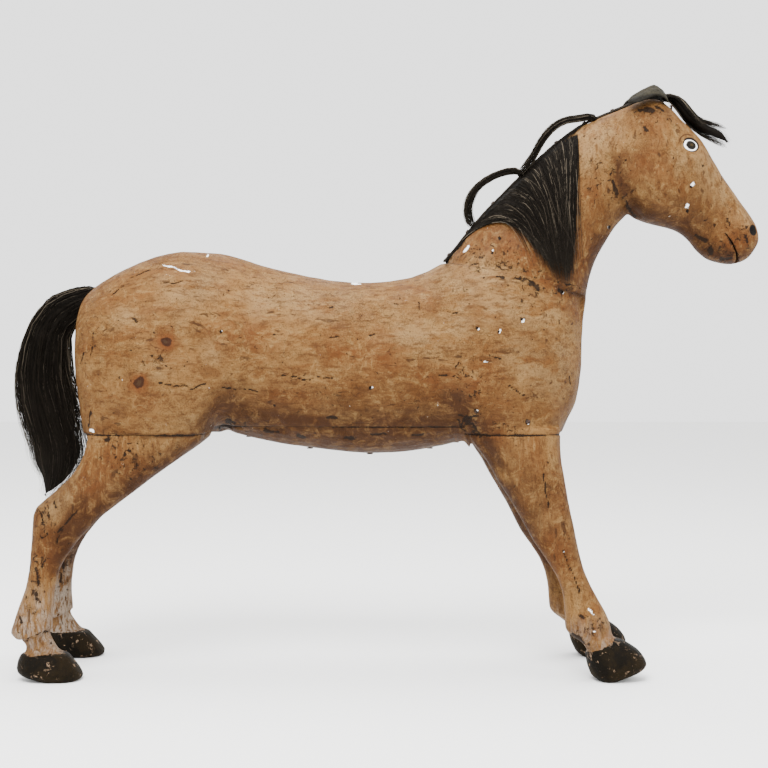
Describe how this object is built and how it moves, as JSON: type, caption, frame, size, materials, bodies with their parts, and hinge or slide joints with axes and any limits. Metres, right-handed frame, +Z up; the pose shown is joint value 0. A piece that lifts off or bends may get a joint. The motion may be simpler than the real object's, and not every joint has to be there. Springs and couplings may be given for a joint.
{
  "type": "carved wooden horse",
  "caption": "Standing carved and painted pine horse with a horsehair mane, forelock and tail and folded leather ears.",
  "frame": {"origin": "on the floor, at the middle of the overall length and width", "axes": "+X the way the horse faces, +Y its left side, +Z up"},
  "size_m": [0.8904, 0.194, 0.6968],
  "materials": {
    "painted_pine": "worn thin tan paint over carved pine, satin",
    "peg_wood": "bare turned birch",
    "old_iron": "hand-made iron, dark and rust-stained",
    "horsehair": "black-brown horsehair, slightly glossy",
    "strip_leather": "dry dark leather",
    "ear_leather": "dry grey-brown leather"
  },
  "bodies": {
    "horse": {"trunk": "painted_pine", "belly_board": "painted_pine", "neck_and_head": "painted_pine", "leg_hind_right": "painted_pine", "leg_hind_left": "painted_pine", "leg_front_right": "painted_pine", "leg_front_left": "painted_pine", "leg_pegs_hind": "peg_wood", "leg_pegs_front": "peg_wood", "neck_pegs": "peg_wood", "tail_plug": "peg_wood", "belly_board_nails": "old_iron", "leg_nails": "old_iron", "mane_strip_tacks": "old_iron", "ear_tacks": "old_iron", "mane_strip": "strip_leather", "mane_hair": "horsehair", "mane_lock_upper": "horsehair", "mane_lock_lower": "horsehair"},
    "tail": {"tail_hair": "horsehair"},
    "forelock": {"forelock_hair": "horsehair"},
    "ear_flap_right": {"ear_right": "ear_leather"},
    "ear_flap_left": {"ear_left": "ear_leather"}
  },
  "joints": [
    {"name": "tail_swing", "type": "hinge", "parent": "horse", "child": "tail", "pos_m": [-0.371, 0, 0.431], "axis": [0, 0, 1], "range_deg": [-14, 14], "stiffness_Nm_per_rad": 0.02},
    {"name": "forelock_lift", "type": "hinge", "parent": "horse", "child": "forelock", "pos_m": [0.3335, 0, 0.683], "axis": [0, -1, 0], "range_deg": [0, 45]},
    {"name": "ear_right_lift", "type": "hinge", "parent": "horse", "child": "ear_flap_right", "pos_m": [0.334, -0.016, 0.6755], "axis": [0, 1, 0], "range_deg": [0, 35]},
    {"name": "ear_left_lift", "type": "hinge", "parent": "horse", "child": "ear_flap_left", "pos_m": [0.334, 0.016, 0.6755], "axis": [0, 1, 0], "range_deg": [0, 35]}
  ]
}
